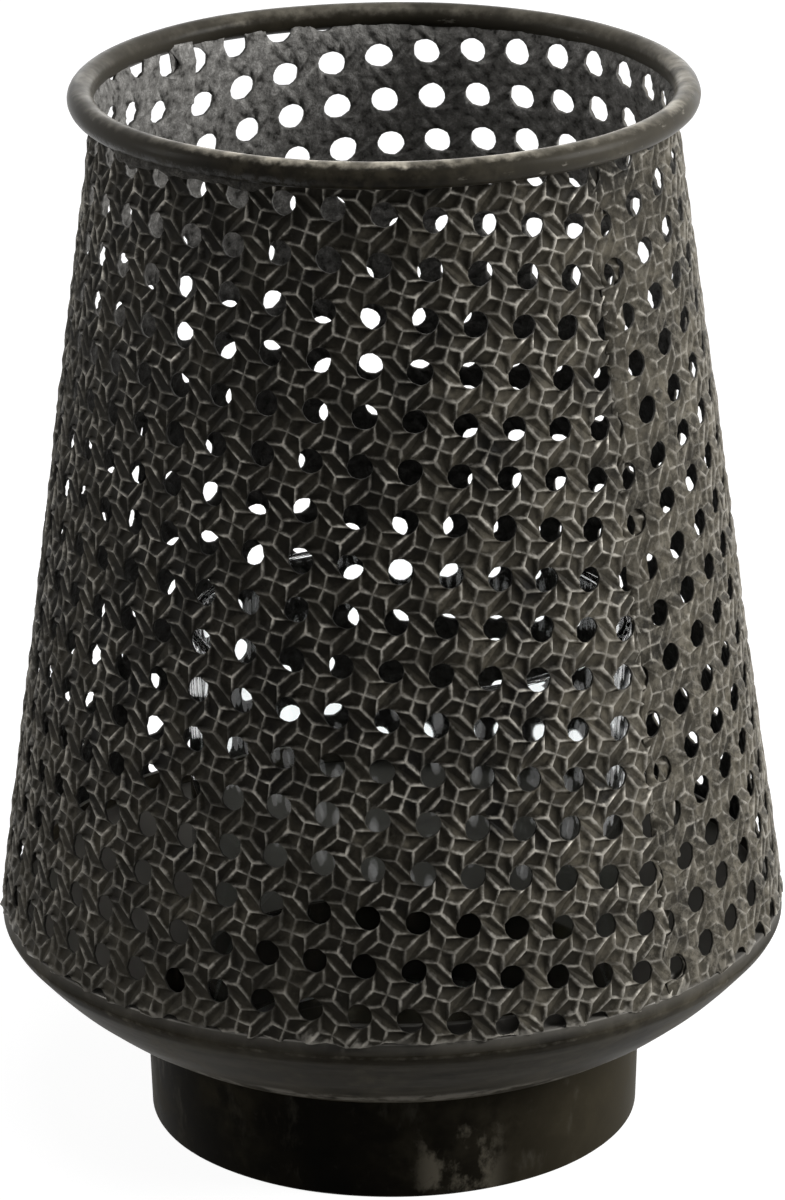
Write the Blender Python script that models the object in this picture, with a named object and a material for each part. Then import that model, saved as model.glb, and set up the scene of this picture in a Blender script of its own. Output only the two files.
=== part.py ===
"""Hurricane lantern: a round, bronze-black metal lantern with a loose glass cylinder.

Seven pieces, each its own object and closed body. Run it from Blender's text
editor or with: blender --background --python part.py

How it goes together, from the table up:
  foot_ring       a slightly flared collar that the lantern stands on
  floor_plate     a pan pressed into the foot, where the glass stands round a raised seat
  bowl            a turned dish on the foot's top edge, with a lip that goes up inside the mesh
  front_panel     half of the tapered mesh wall, its two side edges stepped inwards
  rear_panel      the other half, whose side edges lap over the front half's
  rim_ring        a round tube ring outside the mesh's top edge
  glass_cylinder  an open glass tube that stands loose on the floor and lifts straight out

Metres, +Z up, the table at Z = 0. The front of the lantern faces -Y, and an
azimuth turns from there towards +X.
"""

import math

import bmesh
import bpy
from mathutils import Matrix, Vector
from mathutils.geometry import delaunay_2d_cdt

MM = 0.001

# Driving dimensions. Each one can be set by itself.

FIT_GAP = 0.3 * MM  # room left between pieces that touch

FOOT_RADIUS = 62.2 * MM  # outer radius where it meets the table
FOOT_FLARE = 1.2 * MM  # how much wider the foot is at its top
FOOT_HEIGHT = 28.2 * MM
FOOT_WALL = 1.2 * MM
FOOT_EDGE = 0.4 * MM  # bevel on the foot's edges

FLOOR_RECESS = 2.0 * MM  # from the table to the pan's flange
FLOOR_FLANGE = 4.0 * MM  # depth of the flange that is pressed into the foot
FLOOR_SHEET = 1.0 * MM
FLOOR_BEND = 0.8 * MM  # bevel where the pan turns down into its flange
SEAT_RADIUS = 46.0 * MM  # of the raised seat that a candle stands on, inside the glass
SEAT_RISE = 1.0 * MM
SEAT_SLOPE = 1.2 * MM  # width of the step up to the seat

BOWL_SHEET = 1.2 * MM
BOWL_DEPTH = 28.5 * MM  # from the foot's top to the land that carries the mesh
BOWL_BAND = 2.6 * MM  # upright band under that land
BOWL_BULGE = 3.5 * MM  # how far the dish swells from a straight cone
LIP_HEIGHT = 9.0 * MM  # how far the lip goes up inside the mesh

BODY_RADIUS = 100.0 * MM  # outside of the mesh at its lower edge
MOUTH_RADIUS = 70.4 * MM  # outside of the mesh at its upper edge
MESH_HEIGHT = 210.8 * MM
MESH_SHEET = 1.2 * MM  # sheet and relief together

WEAVE_PITCH = 12.18 * MM  # from hole to hole, both ways
HOLE_WIDTH = 6.4 * MM  # a round hole of this diameter
HOLE_SIDES = 4  # sides of the polygon that stands for the round hole
HOLE_LAND = 2.6 * MM  # least metal between a hole and an edge or a bend

PANEL_SPAN = 186.0  # degrees of the wall that one panel covers
FRONT_AZIMUTH = -42.0  # degrees, middle of the front panel
REAR_AZIMUTH = 138.0
WEAVE_TURN = -2.2  # degrees from a panel's middle to the line its pattern follows
FRONT_WEAVE_START = (0.50, 0.92)  # where the pattern starts, in pitches along and up
REAR_WEAVE_START = (0.57, 0.86)

LAP_RAMP = 2.2 * MM  # width of the step in the front panel's side edges

RING_TUBE = 3.5 * MM  # radius of the tube
RING_CENTRE_OVER_EDGE = 0.3 * MM  # tube centre above the mesh's upper edge

GLASS_RADIUS = 56.0 * MM
GLASS_WALL = 2.5 * MM
GLASS_HEIGHT = 126.0 * MM
GLASS_ROUNDING = 0.8 * MM  # melted edges
GLASS_LEAN_AZIMUTH = 90.0  # degrees, the side of the foot that the glass stands against

# How finely round forms are cut.

ROUND_STEPS = 40
RING_SIDES = 8
BOWL_STEPS = 4
ROUNDING_STEPS = 1
SHEET_STEP = 11.0 * MM  # longest stretch along a panel's edge

# Sizes that follow from the ones above.

FLOOR_TOP = FLOOR_RECESS + FLOOR_FLANGE
BOWL_SEAT = FOOT_HEIGHT + FIT_GAP
LAND_HEIGHT = BOWL_SEAT + BOWL_DEPTH
MESH_BASE = LAND_HEIGHT + FIT_GAP
TAPER = math.atan2(BODY_RADIUS - MOUTH_RADIUS, MESH_HEIGHT)
LAP_STEP = MESH_SHEET + FIT_GAP
RING_HEIGHT = MESH_BASE + MESH_HEIGHT + RING_CENTRE_OVER_EDGE


def foot_radius(height):
    """Outer radius of the foot at a height above the table."""
    return FOOT_RADIUS + FOOT_FLARE * height / FOOT_HEIGHT


def mesh_radius(height):
    """Outer radius of the mesh wall at a height above the table."""
    return BODY_RADIUS - (height - MESH_BASE) * math.tan(TAPER)


def finish(name, color, roughness, metallic, transmission=0.0):
    """A plain Principled material."""
    material = bpy.data.materials.new(name)
    material.use_nodes = True
    shader = material.node_tree.nodes["Principled BSDF"]
    shader.inputs["Base Color"].default_value = (*color, 1.0)
    shader.inputs["Roughness"].default_value = roughness
    shader.inputs["Metallic"].default_value = metallic
    shader.inputs["Transmission Weight"].default_value = transmission
    return material


def place(name, mesh_data, material, location=(0.0, 0.0, 0.0), turn=0.0):
    """Put a bmesh into the scene as one named object, smooth but for its sharp edges."""
    bmesh.ops.recalc_face_normals(mesh_data, faces=mesh_data.faces)
    bmesh.ops.triangulate(mesh_data, faces=mesh_data.faces)
    mesh = bpy.data.meshes.new(name)
    mesh_data.to_mesh(mesh)
    mesh_data.free()
    mesh.shade_smooth()
    mesh.set_sharp_from_angle(angle=math.radians(35.0))
    mesh.materials.append(material)
    piece = bpy.data.objects.new(name, mesh)
    piece.location = location
    piece.rotation_euler = (0.0, 0.0, math.radians(turn))
    bpy.context.scene.collection.objects.link(piece)
    return piece


def turned(profile, steps, closed=True):
    """Spin a profile of (radius, height) points about Z. An open one ends on the axis."""
    mesh_data = bmesh.new()
    points = [mesh_data.verts.new((radius, 0.0, height)) for radius, height in profile]
    edges = [mesh_data.edges.new(pair) for pair in zip(points, points[1:])]
    if closed:
        edges.append(mesh_data.edges.new((points[-1], points[0])))
    bmesh.ops.spin(
        mesh_data,
        geom=points + edges,
        axis=(0.0, 0.0, 1.0),
        cent=(0.0, 0.0, 0.0),
        angle=math.tau,
        steps=steps,
        use_merge=True,
    )
    bmesh.ops.remove_doubles(mesh_data, verts=mesh_data.verts, dist=1e-6)
    return mesh_data


def arc(center, radius, start, end, steps):
    """Points on an arc of (radius, height), from one angle in degrees to another."""
    angles = [math.radians(start + (end - start) * step / steps) for step in range(steps + 1)]
    return [
        (center[0] + radius * math.cos(angle), center[1] + radius * math.sin(angle))
        for angle in angles
    ]


def bulged(start, end, bulge, steps):
    """Points from start to end on an arc that swells to the left of that line by bulge."""
    chord = Vector(end) - Vector(start)
    left = Vector((-chord.y, chord.x)).normalized()
    half = chord.length / 2
    radius = (half * half + bulge * bulge) / (2 * bulge)
    center = (Vector(start) + Vector(end)) / 2 - left * (radius - bulge)
    first = Vector(start) - center
    sweep = -2 * math.asin(min(1.0, half / radius))
    turns = [Matrix.Rotation(sweep * step / steps, 2) for step in range(steps + 1)]
    return [tuple(center + turn @ first) for turn in turns]


def inner_side(outer, thickness):
    """The outer line moved to its right by the thickness, with mitred corners."""
    points = [Vector(point) for point in outer]
    ways = [(b - a).normalized() for a, b in zip(points, points[1:])]
    rights = [Vector((way.y, -way.x)) for way in ways]
    rights = [rights[0]] + rights + [rights[-1]]
    moved = []
    for point, before, after in zip(points, rights, rights[1:]):
        middle = (before + after).normalized()
        moved.append(tuple(point + middle * (thickness / middle.dot(after))))
    return moved


def foot_ring(material):
    """The flared collar, with its four edges bevelled."""
    outer_low = foot_radius(0.0)
    outer_high = foot_radius(FOOT_HEIGHT)
    inner_low = outer_low - FOOT_WALL
    inner_high = outer_high - FOOT_WALL
    profile = [
        (outer_low - FOOT_EDGE, 0.0),
        (outer_low, FOOT_EDGE),
        (outer_high, FOOT_HEIGHT - FOOT_EDGE),
        (outer_high - FOOT_EDGE, FOOT_HEIGHT),
        (inner_high, FOOT_HEIGHT),
        (inner_low, 0.0),
    ]
    return place("foot_ring", turned(profile, ROUND_STEPS), material)


def floor_plate(material):
    """The pan in the foot: a raised seat, and a flange turned down against the foot's wall."""
    radius = foot_radius(FLOOR_RECESS) - FOOT_WALL - FIT_GAP
    under = FLOOR_TOP - FLOOR_SHEET
    profile = [
        (0.0, FLOOR_TOP + SEAT_RISE),
        (SEAT_RADIUS, FLOOR_TOP + SEAT_RISE),
        (SEAT_RADIUS + SEAT_SLOPE, FLOOR_TOP),
        (radius - FLOOR_BEND, FLOOR_TOP),
        (radius, FLOOR_TOP - FLOOR_BEND),
        (radius, FLOOR_RECESS),
        (radius - FLOOR_SHEET, FLOOR_RECESS),
        (radius - FLOOR_SHEET, under),
        (SEAT_RADIUS + SEAT_SLOPE - FLOOR_BEND, under),
        (SEAT_RADIUS - FLOOR_BEND, under + SEAT_RISE),
        (0.0, under + SEAT_RISE),
    ]
    return place("floor_plate", turned(profile, ROUND_STEPS, closed=False), material)


def bowl(material):
    """The dish: a lip inside the mesh, a land under the mesh's edge, a band and a swelling."""
    lip_inset = (MESH_SHEET + LAP_STEP) / math.cos(TAPER) + FIT_GAP
    lip_top = LAND_HEIGHT + LIP_HEIGHT
    dish_start = (BODY_RADIUS, LAND_HEIGHT - BOWL_BAND)
    dish_end = (foot_radius(FOOT_HEIGHT), BOWL_SEAT)
    outer = [(mesh_radius(lip_top) - lip_inset, lip_top)]
    outer.append((BODY_RADIUS - lip_inset, LAND_HEIGHT))
    outer.append((BODY_RADIUS, LAND_HEIGHT))
    outer += bulged(dish_start, dish_end, BOWL_BULGE, BOWL_STEPS)
    outer.append((dish_end[0] - FOOT_WALL, BOWL_SEAT))
    profile = outer + inner_side(outer, BOWL_SHEET)[::-1]
    return place("bowl", turned(profile, ROUND_STEPS), material)


def rim_ring(material):
    """The round tube ring that hides the mesh's upper edge."""
    middle = mesh_radius(RING_HEIGHT) + FIT_GAP + RING_TUBE
    profile = arc((middle, 0.0), RING_TUBE, 0.0, 360.0, RING_SIDES)[:-1]
    return place("rim_ring", turned(profile, ROUND_STEPS), material, (0.0, 0.0, RING_HEIGHT))


def glass_cylinder(material):
    """The open glass tube, stood against the foot's wall, with its own axis as its origin."""
    low = GLASS_ROUNDING
    high = GLASS_HEIGHT - GLASS_ROUNDING
    outer = GLASS_RADIUS - GLASS_ROUNDING
    inner = GLASS_RADIUS - GLASS_WALL + GLASS_ROUNDING
    profile = arc((outer, low), GLASS_ROUNDING, -90.0, 0.0, ROUNDING_STEPS)
    profile += arc((outer, high), GLASS_ROUNDING, 0.0, 90.0, ROUNDING_STEPS)
    profile += arc((inner, high), GLASS_ROUNDING, 90.0, 180.0, ROUNDING_STEPS)
    profile += arc((inner, low), GLASS_ROUNDING, 180.0, 270.0, ROUNDING_STEPS)
    shift = foot_radius(FLOOR_TOP) - FOOT_WALL - FIT_GAP - GLASS_RADIUS
    lean = math.radians(GLASS_LEAN_AZIMUTH)
    place_at = (shift * math.sin(lean), -shift * math.cos(lean), FLOOR_TOP + FIT_GAP)
    return place("glass_cylinder", turned(profile, ROUND_STEPS), material, place_at)


def evenly(start, end, longest):
    """Numbers from start to end, both included, no further apart than longest."""
    count = max(1, math.ceil(abs(end - start) / longest))
    return [start + (end - start) * step / count for step in range(count + 1)]


def flat_point(slant, angle):
    """A point of the flat pattern, whose apex is the origin and whose middle line is -Y."""
    return Vector((slant * math.sin(angle), -slant * math.cos(angle)))


def panel(name, material, azimuth, weave_start, stepped):
    """Half of the mesh wall: a flat pattern with square rows of holes, rolled into a cone.

    The pattern is a slice of a flat ring. Its holes keep to a square grid, as
    they do in the sheet that it is cut from, and stay clear of the laps. A panel
    with stepped sides has a bend before each lap, past which its sheet lies one
    thickness further in, under the other panel's.
    """
    sine = math.sin(TAPER)
    slant_low = BODY_RADIUS / sine
    slant_high = MOUTH_RADIUS / sine
    side = math.radians(PANEL_SPAN / 2) * sine
    lap = math.radians(PANEL_SPAN - 180.0) * sine
    ramp_end = side - lap - FIT_GAP / slant_high
    ramp_start = ramp_end - LAP_RAMP / slant_high
    bends = [ramp_end, ramp_start] if stepped else [side - lap]
    plain = bends[-1]

    # The outline, once round, with a point on it wherever a bend meets it.
    outer_angles = [side] + bends[:-1]
    angles = [-angle for angle in outer_angles]
    angles += evenly(-plain, plain, SHEET_STEP / slant_low)
    angles += reversed(outer_angles)
    slants = evenly(slant_low, slant_high, 2 * SHEET_STEP)
    outline = [flat_point(slant_low, angle) for angle in angles]
    outline += [flat_point(slant, side) for slant in slants[1:-1]]
    outline += [flat_point(slant_high, angle) for angle in reversed(angles)]
    outline += [flat_point(slant, -side) for slant in reversed(slants[1:-1])]
    points = list(outline)
    loops = [list(range(len(outline)))]

    # Lines that the triangles keep to, along each bend.
    lines = []
    for bend in [way * bend for bend in bends for way in (-1, 1)]:
        first = len(points)
        points += [flat_point(slant, bend) for slant in slants]
        lines += [(index, index + 1) for index in range(first, len(points) - 1)]

    # The holes, as polygons of the round hole's area, where one has metal all round it.
    sides_area = HOLE_SIDES * math.sin(math.tau / HOLE_SIDES) / 2
    corner = HOLE_WIDTH / 2 * math.sqrt(math.pi / sides_area)
    clear = corner + HOLE_LAND
    turn = math.radians(WEAVE_TURN) * sine
    reach = math.ceil(slant_low / WEAVE_PITCH) + 1
    for column in range(-reach, reach + 1):
        for row in range(-reach, 1):
            grid = Vector((column + weave_start[0], row + weave_start[1])) * WEAVE_PITCH
            center = Matrix.Rotation(turn, 2) @ grid
            slant = center.length
            angle = math.atan2(center.x, -center.y)
            if not slant_high + clear < slant < slant_low - clear:
                continue
            if (plain - abs(angle)) * slant < clear:
                continue
            first = len(points)
            for step in range(HOLE_SIDES):
                way = math.tau * (step + 0.5) / HOLE_SIDES + turn
                points.append(center + corner * Vector((math.cos(way), math.sin(way))))
            loops.append(list(range(first, len(points))))

    spots, _, faces, _, _, origins = delaunay_2d_cdt(points, lines, loops, 1, 1e-7, True)

    mesh_data = bmesh.new()
    skin = [mesh_data.verts.new((spot.x, spot.y, 0.0)) for spot in spots]
    sheet = [
        mesh_data.faces.new([skin[index] for index in face])
        for face, origin in zip(faces, origins)
        if list(origin) == [0]
    ]
    grown = bmesh.ops.extrude_face_region(mesh_data, geom=sheet)
    for item in grown["geom"]:
        if isinstance(item, bmesh.types.BMVert):
            item.co.z = MESH_SHEET

    # Roll it up: the distance from the apex is the slant, and the angle opens out.
    for vert in mesh_data.verts:
        slant = math.hypot(vert.co.x, vert.co.y)
        angle = math.atan2(vert.co.x, -vert.co.y)
        depth = vert.co.z
        if stepped:
            share = (abs(angle) - ramp_start) / (ramp_end - ramp_start)
            depth += LAP_STEP * min(1.0, max(0.0, share))
        radius = slant * sine - depth / math.cos(TAPER)
        height = (slant_low - slant) * math.cos(TAPER)
        around = angle / sine
        vert.co = (radius * math.sin(around), -radius * math.cos(around), height)
    return place(name, mesh_data, material, (0.0, 0.0, MESH_BASE), azimuth)


def build():
    """Empty the scene and make the seven pieces."""
    for old in list(bpy.data.objects):
        bpy.data.objects.remove(old)
    dark = finish("dark_bronze_black", (0.045, 0.040, 0.034), 0.45, 0.85)
    worn = finish("worn_bronze_mesh", (0.075, 0.068, 0.058), 0.50, 0.80)
    ring = finish("satin_bronze_ring", (0.090, 0.080, 0.068), 0.38, 0.90)
    clear = finish("clear_glass", (0.95, 0.97, 0.97), 0.03, 0.0, 1.0)
    foot_ring(dark)
    floor_plate(dark.copy())
    bowl(dark.copy())
    panel("front_panel", worn, FRONT_AZIMUTH, FRONT_WEAVE_START, stepped=True)
    panel("rear_panel", worn.copy(), REAR_AZIMUTH, REAR_WEAVE_START, stepped=False)
    rim_ring(ring)
    glass_cylinder(clear)


build()
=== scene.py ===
# %% [markdown]
# # A hurricane lantern in pressed metal
# This lesson dresses the solid model of a table lantern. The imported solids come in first
# and stay as they are. Every piece made here stands for one of them, or is small trim
# beside it, and moves with it.

# %% Load the solid model
from types import SimpleNamespace

import bmesh
import bpy
import numpy as np
from mathutils import Matrix, Vector


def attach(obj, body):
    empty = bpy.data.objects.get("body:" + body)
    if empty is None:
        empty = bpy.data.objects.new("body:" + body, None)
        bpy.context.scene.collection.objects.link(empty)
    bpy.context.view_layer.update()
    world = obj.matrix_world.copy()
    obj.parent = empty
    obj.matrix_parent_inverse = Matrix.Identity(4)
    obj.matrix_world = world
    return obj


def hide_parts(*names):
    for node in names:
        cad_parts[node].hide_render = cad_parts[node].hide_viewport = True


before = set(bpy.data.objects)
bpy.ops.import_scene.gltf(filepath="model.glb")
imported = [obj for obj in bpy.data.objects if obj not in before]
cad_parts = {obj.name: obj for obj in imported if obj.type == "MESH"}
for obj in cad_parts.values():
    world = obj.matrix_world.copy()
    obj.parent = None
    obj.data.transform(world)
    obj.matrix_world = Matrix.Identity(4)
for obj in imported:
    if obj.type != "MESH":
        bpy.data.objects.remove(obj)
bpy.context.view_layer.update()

# %% [markdown]
# ## The camera
# The photograph was taken from a little above the rim with a long lens. The distance,
# the tilt and the lens below were fitted to the ellipses of the foot and the rim, so
# that a point of the model lands on the same spot as in the photograph.

# %% Camera
MM = 0.001
CAMERA_SPOT = (0.00082, -1.4289, 0.6586)  # metres
CAMERA_DOWN = 20.08  # degrees that it looks down
CAMERA_ROLL = -0.0103  # radians that it leans
FOCAL_LENGTH, FILM_WIDTH = 181.06, 36.0  # mm

camera_data = bpy.data.cameras.new("camera")
camera_data.lens = FOCAL_LENGTH
camera_data.sensor_width = FILM_WIDTH
camera_data.sensor_fit = "AUTO"
camera_data.clip_end = 50.0
camera = bpy.data.objects.new("camera", camera_data)
tilt = Matrix.Rotation(np.radians(90.0 - CAMERA_DOWN), 4, "X")
roll = Matrix.Rotation(CAMERA_ROLL, 4, "Z")
camera.matrix_world = Matrix.Translation(CAMERA_SPOT) @ tilt @ roll
bpy.context.scene.collection.objects.link(camera)
bpy.context.scene.camera = camera
print("camera stands", round(camera.location.length, 3), "m from the foot")

# %% [markdown]
# ## From arrays to a mesh
# All pieces below are worked out as whole numpy arrays. This helper puts such arrays
# into a mesh, smooths it, keeps the edges sharper than an angle crisp, and stores a
# value per point, called crest, that says how exposed the metal is there: 1 on a ridge
# or an edge that hands and cloths rub, 0 in a hollow.


# %% Mesh helper
def store(mesh, name, values):
    """Keep one number per point, under a name that a material can read."""
    layer = mesh.attributes.get(name) or mesh.attributes.new(name, "FLOAT", "POINT")
    layer.data.foreach_set("value", np.asarray(values, np.float32))


def make_piece(name, points, faces, crest=None, sharp_angle=40.0):
    """A mesh object from an array of points and lists of corner numbers."""
    mesh = bpy.data.meshes.new(name)
    mesh.from_pydata(points.tolist(), [], faces)
    mesh.shade_smooth()
    mesh.set_sharp_from_angle(angle=np.radians(sharp_angle))
    if crest is not None:
        store(mesh, "crest", crest)
    piece = bpy.data.objects.new(name, mesh)
    bpy.context.scene.collection.objects.link(piece)
    print(name + ":", len(points), "points,", len(faces), "faces")
    return piece


# %% [markdown]
# ## Rounded corners
# Turned and pressed metal has no sharp corners, and it is the small round ones that
# catch the light. Each corner of a profile is replaced by a short curve: it leaves one
# side a little before the corner and meets the other a little after it. The curve is the
# quadratic one, (1-t)^2 A + 2t(1-t) P + t^2 B, with P the old corner.

# %% Profile helpers
SHARE_OF_SIDE = 0.49  # the most of a side that the rounding at each of its ends uses up
FULL_BEND = 0.35  # radians that a profile turns at a point that counts as a full edge


def softened(corners, reach, steps=4):
    """Round each corner of a closed profile. Reach is how far from it the curve starts."""
    corners = np.asarray(corners, float)
    reach = np.broadcast_to(np.asarray(reach, float), len(corners))[:, None]
    to_last = np.roll(corners, 1, axis=0) - corners
    to_next = np.roll(corners, -1, axis=0) - corners
    before = np.linalg.norm(to_last, axis=1, keepdims=True)
    after = np.linalg.norm(to_next, axis=1, keepdims=True)
    start = corners + to_last * np.minimum(reach / before, SHARE_OF_SIDE)
    end = corners + to_next * np.minimum(reach / after, SHARE_OF_SIDE)
    t = np.linspace(0.0, 1.0, steps + 1)[None, :, None]
    curve = (1 - t) ** 2 * start[:, None] + t**2 * end[:, None]
    return (curve + 2 * t * (1 - t) * corners[:, None]).reshape(-1, 2)


def signed_area(profile):
    """Half the sum of x times the next y, less y times the next x: above 0 if anticlockwise."""
    ahead = np.roll(profile, -1, axis=0)
    return 0.5 * (profile[:, 0] * ahead[:, 1] - ahead[:, 0] * profile[:, 1]).sum()


def bend_of(profile):
    """How sharply a closed profile turns outwards at each point, from 0 to 1.

    The turn is the angle from the side before a point to the side after it.
    """
    back = profile - np.roll(profile, 1, axis=0)
    ahead = np.roll(profile, -1, axis=0) - profile
    cross = back[:, 0] * ahead[:, 1] - back[:, 1] * ahead[:, 0]
    turn = np.arctan2(cross, (back * ahead).sum(axis=1))
    return np.clip(np.sign(signed_area(profile)) * turn / FULL_BEND, 0.0, 1.0)


# %% [markdown]
# ## Turning a profile
# The ring, the bowl, the foot, the floor and the glass are round, so each is a closed
# profile carried round the upright axis. Blender's Spin would do it too, but an array
# lets the profile change as it goes round, and that makes metal look handmade.

# %% Turning
ROUND = 192  # steps round the axis


def round_axis(radius, around, height):
    """Points in metres at (r sin a, -r cos a, h), from r and h in millimetres."""
    return np.stack([radius * np.sin(around), -radius * np.cos(around), height], axis=-1) * MM


def turned(name, profile, shape=None, centre=(0.0, 0.0, 0.0), rubbed=None):
    """Carry a closed profile of (radius, height), in millimetres, round the Z axis.

    Point (i, k) is profile point i at azimuth k. The shape function may push the points
    about before they are placed. The centre is in metres.
    """
    profile = np.asarray(profile, float)
    azimuth = np.linspace(0.0, 2 * np.pi, ROUND, endpoint=False)
    around, radius = np.meshgrid(azimuth, profile[:, 0])
    _, height = np.meshgrid(azimuth, profile[:, 1])
    if shape is not None:
        radius, height = shape(radius, height, around)
    spots = round_axis(radius, around, height).reshape(-1, 3) + np.asarray(centre)
    index = np.arange(len(profile) * ROUND).reshape(len(profile), ROUND)
    right = np.roll(index, -1, axis=1)
    up = np.roll(index, -1, axis=0)
    corner = np.roll(right, -1, axis=0)
    faces = np.stack([index, right, corner, up], axis=-1).reshape(-1, 4)
    if signed_area(profile) < 0:
        faces = faces[:, ::-1]
    crest = np.repeat((bend_of(profile) if rubbed is None else rubbed)[:, None], ROUND, axis=1)
    return make_piece(name, spots, faces.tolist(), crest.ravel())


# %% [markdown]
# ## The pressed weave: one repeat
# The wall imitates cane weaving, pressed into sheet metal. Raised ridges as thin as a
# match run between the holes and close in flat, sunken fields. The pattern looks the
# same after a quarter turn about a hole, so one quarter is enough to write down. Places
# are complex numbers in units of the pitch, with the hole's middle at 0, because a
# quarter turn is then a multiplication by i. A kite-shaped field lies in each quarter
# and a leaf-shaped one between each two neighbouring holes. Tops, floors, crests and
# slopes go corner by corner round a field.

# %% One repeat of the weave
PITCH = 12.178  # mm from hole to hole
FRONT_HOLE, REAR_HOLE = 0.258, 0.280  # radius of a hole, in pitches
CROSSING = 0.5 + 0.5j  # where four kites meet
JUNCTION = 0.44 + 0.232j  # where three ridges meet
RIM_ANGLES = (57.0, 79.5, 34.5, 12.0)  # degrees round a hole where a field touches its rim
KITE_TOP = np.array([0.50, 0.72, 0.42, 0.02, 0.42, 0.72])  # mm over the hole's level
KITE_FLOOR = np.array([-0.10, -0.30, -0.38, -0.50, -0.78, -0.62])
KITE_CREST = np.array([0.75, 1.0, 0.7, 0.35, 0.7, 1.0])
KITE_SLOPE = np.array([0.064, 0.068, 0.036, 0.030, 0.062, 0.064])  # of the side after each
LEAF_TOP = np.tile([0.72, 0.42, 0.08, 0.42], 2)
LEAF_FLOOR = np.tile([-0.05, -0.25, -0.32, -0.14], 2)
LEAF_CREST = np.tile([1.0, 0.7, 0.35, 0.7], 2)
LEAF_SLOPE = np.tile([0.066, 0.034, 0.034, 0.066], 2)


def fields(hole):
    """The corners of a kite and of a leaf, round holes of this radius in pitches."""
    tangent, kite_rim, leaf_rim, landing = hole * np.exp(1j * np.radians(RIM_ANGLES))
    kite = np.array([CROSSING, 1j * (1 - JUNCTION), 1j * landing, kite_rim, tangent, JUNCTION])
    half = np.array([JUNCTION, tangent, leaf_rim, landing])
    return kite, np.concatenate([half, 1 - half])


def inset(corners, widths):
    """Move side k of a polygon inwards by widths[k]. New corner k is where two sides cross."""
    along = np.roll(corners, -1) - corners
    inward = 1j * along / abs(along)
    before, width_before = np.roll(inward, 1), np.roll(widths, 1)
    cross = (before.conj() * inward).imag
    return corners + 1j * (widths * before - width_before * inward) / cross


def repeat_of_weave(hole):
    """Points, heights, crests and faces of four kites and two leaves.

    Each field has a ring of corners at the top of its slopes and one inset at their foot.
    """
    kite, leaf = fields(hole)
    kites = [kite * turn for turn in (1, 1j, -1, -1j)]
    leaves = [leaf, leaf * 1j]
    kite_lows = [inset(each, KITE_SLOPE) for each in kites]
    leaf_lows = [inset(each, LEAF_SLOPE) for each in leaves]
    places = np.concatenate(kites + leaves + kite_lows + leaf_lows)
    tops = np.concatenate([KITE_TOP] * 4 + [LEAF_TOP] * 2)
    floors = np.concatenate([KITE_FLOOR] * 4 + [LEAF_FLOOR] * 2)
    crests = np.concatenate([KITE_CREST] * 4 + [LEAF_CREST] * 2)
    sides = len(tops)
    corner = np.arange(sides)
    sizes = np.array([len(kite)] * 4 + [len(leaf)] * 2)
    first = np.repeat(np.cumsum(sizes) - sizes, sizes)
    after = first + (corner - first + 1) % np.repeat(sizes, sizes)
    slopes = np.stack([corner, after, after + sides, corner + sides], axis=-1)
    bottoms = np.split(corner + sides, np.cumsum(sizes)[:-1])
    heights = np.concatenate([tops, floors])
    return places, heights, np.concatenate([crests, crests * 0.0]), slopes, bottoms


tile = repeat_of_weave(FRONT_HOLE)
print("one repeat:", len(tile[0]), "points,", len(tile[3]) + len(tile[4]), "faces")

# %% [markdown]
# ## The cone, rolled out flat
# The wall is a cone, and a cone unrolls flat. In the flat sheet the holes keep to square
# rows, so the repeats are laid out there, cut along the panel's four edges, given a back,
# and only then rolled up. Slant is the distance from the cone's tip, and the angle in the
# flat sheet is the azimuth times the sine of the taper.

# %% The cone
SLOPE = 0.1391  # how much the radius shrinks per millimetre of height
TAPER = np.arctan(SLOPE)
TIP = 771.75  # height of the cone's tip, mm
MESH_LOW, MESH_HIGH = 58.1, 268.0  # heights of the wall's two edges, mm
SLANT_LOW, SLANT_HIGH = (TIP - MESH_LOW) / np.cos(TAPER), (TIP - MESH_HIGH) / np.cos(TAPER)
SIDE = np.radians(93.0)  # azimuth from a panel's middle to its side
FLAT_SIDE = SIDE * np.sin(TAPER)
print("flat panel:", round(SLANT_LOW - SLANT_HIGH, 1), "mm high")

# %% [markdown]
# ## Unevenness
# Nothing on such a lantern is quite even. A smooth step lets an effect begin and end
# softly, and slow waves bend things. Their seed makes them the same each time.

# %% Unevenness helpers
WAVES = 7  # sine waves in one sum
WAVE_SIZE = 2.6  # what their sum is divided by


def smooth_step(value):
    """0 below 0, 1 above 1, and 3v^2 - 2v^3 between."""
    value = np.clip(value, 0.0, 1.0)
    return value * value * (3 - 2 * value)


def near(distance, reach, over):
    """1 at an edge and 0 from a reach on, with a smooth step of the width over between."""
    return smooth_step((reach - distance) / over)


def waves(x, y, length, seed):
    """Gentle unevenness between about -1 and 1: a sum of slanted sine waves."""
    rng = np.random.default_rng(seed)
    total = np.zeros_like(x)
    for _ in range(WAVES):
        way, start = rng.uniform(0, 2 * np.pi, 2)
        size = length * rng.uniform(0.6, 1.8)
        total += np.sin(2 * np.pi * (x * np.cos(way) + y * np.sin(way)) / size + start)
    return total / WAVE_SIZE


# %% [markdown]
# ## The drift of the rows
# Rolling pulled the two sheets out of square, by a few millimetres at the far edges. How
# far was worked out from the holes that the photograph shows, and from the light that
# comes through two holes in line. Each sheet has one slow sum for its main part and one
# for its left part, which on the rear sheet lies beside the photograph's right seam.

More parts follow.
